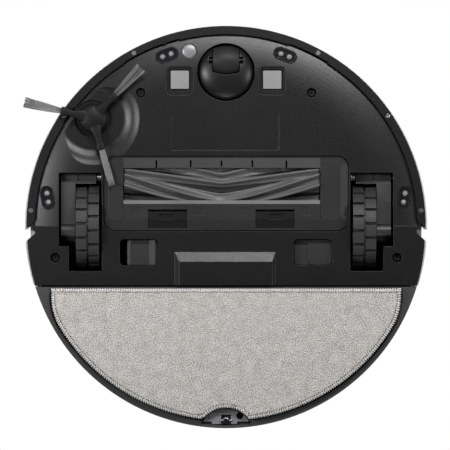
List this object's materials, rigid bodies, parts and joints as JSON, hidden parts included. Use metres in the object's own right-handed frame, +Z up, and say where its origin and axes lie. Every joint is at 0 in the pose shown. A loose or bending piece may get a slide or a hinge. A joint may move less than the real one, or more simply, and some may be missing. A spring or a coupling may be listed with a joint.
{
  "type": "robot vacuum cleaner",
  "caption": "Round robot vacuum with a rear wet-mop module, sprung bumper, lidar turret, side brush, main roller, caster and sprung drive wheels.",
  "frame": {"origin": "on the floor below the middle of the round body", "axes": "+Z up; -Y is forward, where the bumper and caster are; +X is the side away from the side brush"},
  "size_m": [0.3518, 0.3504, 0.097],
  "materials": {
    "black_plastic": "fine matte texture",
    "skirt_plastic": "satin",
    "white_shell": "semi-gloss",
    "grey_tank": "satin",
    "smoked_bin": "gloss",
    "clear_lid": "gloss",
    "lidar_black": "gloss",
    "ir_window": "high gloss",
    "button_white": "satin",
    "light_diffuser": "satin",
    "screw_black": "black oxide",
    "plate_grey": "satin",
    "screw_steel": "machined",
    "spring_steel": "drawn",
    "contact_metal": "nickel plated, satin",
    "chrome_dome": "polished",
    "lens": "polished",
    "sensor_black": "gloss",
    "battery_wrap": "satin",
    "cell_wrap": "shrink sleeve",
    "circuit_board": "solder mask",
    "speaker_black": "matte",
    "motor_metal": "zinc plated",
    "fan_grey": "matte",
    "impeller_white": "satin",
    "brush_plastic": "matte",
    "blade_rubber": "smooth rubber",
    "strip_rubber": "soft",
    "arm_rubber": "soft matte",
    "bristle_grey": "nylon filament",
    "wheel_plastic": "matte",
    "tyre_rubber": "matte rubber",
    "mop_fabric": "microfibre plush",
    "filter_white": "pleated paper"
  },
  "bodies": {
    "chassis": {"chassis": "black_plastic", "chassis_screws": "screw_black", "top_plate": "white_shell", "side_shell": "white_shell", "battery_case": "battery_wrap", "battery_cells": "cell_wrap", "main_board": "circuit_board", "speaker": "speaker_black", "fan_housing": "fan_grey", "vacuum_duct": "fan_grey", "brush_motor": "motor_metal", "side_brush_motor": "motor_metal", "suspension_pins": "screw_black", "suspension_springs": "spring_steel", "charge_contacts": "contact_metal", "cliff_housings": "sensor_black", "cliff_lenses": "lens", "carpet_sensor": "chrome_dome", "lidar_base": "lidar_black", "lidar_cap": "lidar_black", "status_light": "light_diffuser", "bumper_springs": "spring_steel", "brush_bearing": "brush_plastic"},
    "lidar_head": {"lidar_rotor": "lidar_black"},
    "fan": {"fan_impeller": "impeller_white"},
    "power_key": {"power_button": "button_white"},
    "home_key": {"home_button": "button_white"},
    "bumper": {"bumper_cover": "white_shell", "bumper_skirt": "skirt_plastic", "bumper_screws": "screw_steel", "bumper_window": "ir_window"},
    "caster": {"caster_fork": "black_plastic", "caster_axle": "screw_black"},
    "caster_roller": {"caster_wheel": "wheel_plastic"},
    "main_brush": {"brush_core": "brush_plastic", "brush_blades": "blade_rubber"},
    "guard": {"brush_guard": "black_plastic", "guard_strip": "strip_rubber"},
    "latch_left": {"guard_latch_left": "skirt_plastic"},
    "latch_right": {"guard_latch_right": "skirt_plastic"},
    "side_brush": {"side_brush_hub": "arm_rubber", "side_brush_bristles": "bristle_grey"},
    "mop_module": {"water_tank": "grey_tank", "mop_plate": "grey_tank", "mop_pad": "mop_fabric", "catch_plate": "plate_grey"},
    "mop_catch": {"mop_latch": "skirt_plastic"},
    "filler_plug": {"tank_plug": "arm_rubber"},
    "dust_bin": {"bin_body": "smoked_bin", "bin_lid": "clear_lid", "bin_filter": "filter_white"},
    "bin_release": {"bin_button": "skirt_plastic"},
    "arm_left": {"wheel_arm_left": "wheel_plastic"},
    "arm_right": {"wheel_arm_right": "wheel_plastic"},
    "wheel_left": {"wheel_rim_left": "wheel_plastic", "wheel_tyre_left": "tyre_rubber"},
    "wheel_right": {"wheel_rim_right": "wheel_plastic", "wheel_tyre_right": "tyre_rubber"},
    "flap_left": {"port_flap_left": "fan_grey"},
    "flap_right": {"port_flap_right": "fan_grey"}
  },
  "joints": [
    {"name": "bumper_push", "type": "slide", "parent": "chassis", "child": "bumper", "axis": [0, 1, 0], "range_m": [0, 0.003], "stiffness_N_per_m": 350, "springref_m": -0.003, "deforming": ["bumper_springs"]},
    {"name": "power_press", "type": "slide", "parent": "chassis", "child": "power_key", "axis": [0, 0, -1], "range_m": [0, 0.0008], "stiffness_N_per_m": 900, "springref_m": -0.0006},
    {"name": "home_press", "type": "slide", "parent": "chassis", "child": "home_key", "axis": [0, 0, -1], "range_m": [0, 0.0008], "stiffness_N_per_m": 900, "springref_m": -0.0006},
    {"name": "lidar_spin", "type": "hinge", "parent": "chassis", "child": "lidar_head", "pos_m": [0, 0.006, 0.068], "axis": [0, 0, 1], "continuous": true},
    {"name": "fan_spin", "type": "hinge", "parent": "chassis", "child": "fan", "pos_m": [0.103, 0.088, 0.055], "axis": [0, 0, 1], "continuous": true},
    {"name": "caster_swivel", "type": "hinge", "parent": "chassis", "child": "caster", "pos_m": [0, -0.1345, 0.03], "axis": [0, 0, 1], "continuous": true},
    {"name": "caster_roll", "type": "hinge", "parent": "caster", "child": "caster_roller", "pos_m": [0, -0.1449, 0.0125], "axis": [1, 0, 0], "continuous": true},
    {"name": "main_brush_spin", "type": "hinge", "parent": "chassis", "child": "main_brush", "pos_m": [0, -0.037, 0.0205], "axis": [1, 0, 0], "continuous": true},
    {"name": "side_brush_spin", "type": "hinge", "parent": "chassis", "child": "side_brush", "pos_m": [-0.1158, -0.0944, 0.01], "axis": [0, 0, 1], "continuous": true},
    {"name": "guard_lift_off", "type": "slide", "parent": "chassis", "child": "guard", "axis": [0, 0, -1], "range_m": [0, 0.03], "deforming": ["side_brush_bristles"]},
    {"name": "latch_left_pinch", "type": "slide", "parent": "guard", "child": "latch_left", "axis": [0, -1, 0], "range_m": [0, 0.0015], "stiffness_N_per_m": 600, "springref_m": -0.0008},
    {"name": "latch_right_pinch", "type": "slide", "parent": "guard", "child": "latch_right", "axis": [0, -1, 0], "range_m": [0, 0.0015], "stiffness_N_per_m": 600, "springref_m": -0.0008},
    {"name": "mop_module_pull", "type": "slide", "parent": "chassis", "child": "mop_module", "axis": [0, 1, 0], "range_m": [0, 0.14]},
    {"name": "mop_catch_press", "type": "slide", "parent": "mop_module", "child": "mop_catch", "axis": [0, -1, 0], "range_m": [0, 0.0015], "stiffness_N_per_m": 600, "springref_m": -0.0008},
    {"name": "filler_plug_pull", "type": "slide", "parent": "mop_module", "child": "filler_plug", "axis": [0, 1, 0], "range_m": [0, 0.03]},
    {"name": "dust_bin_pull", "type": "slide", "parent": "chassis", "child": "dust_bin", "axis": [0, 1, 0], "range_m": [0, 0.14]},
    {"name": "bin_release_press", "type": "slide", "parent": "dust_bin", "child": "bin_release", "axis": [0, -1, 0], "range_m": [0, 0.0015], "stiffness_N_per_m": 600, "springref_m": -0.0008},
    {"name": "suspension_left", "type": "hinge", "parent": "chassis", "child": "arm_left", "pos_m": [-0.1285, -0.0433, 0.024], "axis": [1, 0, 0], "range_deg": [-22, 0], "stiffness_Nm_per_rad": 0.2, "springref_deg": -68.75},
    {"name": "suspension_right", "type": "hinge", "parent": "chassis", "child": "arm_right", "pos_m": [0.1285, -0.0433, 0.024], "axis": [1, 0, 0], "range_deg": [-22, 0], "stiffness_Nm_per_rad": 0.2, "springref_deg": -68.75},
    {"name": "drive_left", "type": "hinge", "parent": "arm_left", "child": "wheel_left", "pos_m": [-0.1205, 0, 0.036], "axis": [1, 0, 0], "continuous": true},
    {"name": "drive_right", "type": "hinge", "parent": "arm_right", "child": "wheel_right", "pos_m": [0.1205, 0, 0.036], "axis": [1, 0, 0], "continuous": true},
    {"name": "flap_left_swing", "type": "hinge", "parent": "chassis", "child": "flap_left", "pos_m": [-0.0603, 0.02225, 0.0162], "axis": [0, 1, 0], "range_deg": [0, 60], "stiffness_Nm_per_rad": 0.002, "springref_deg": -17.19},
    {"name": "flap_right_swing", "type": "hinge", "parent": "chassis", "child": "flap_right", "pos_m": [0.091, 0.02225, 0.0162], "axis": [0, 1, 0], "range_deg": [0, 60], "stiffness_Nm_per_rad": 0.002, "springref_deg": -17.19}
  ]
}
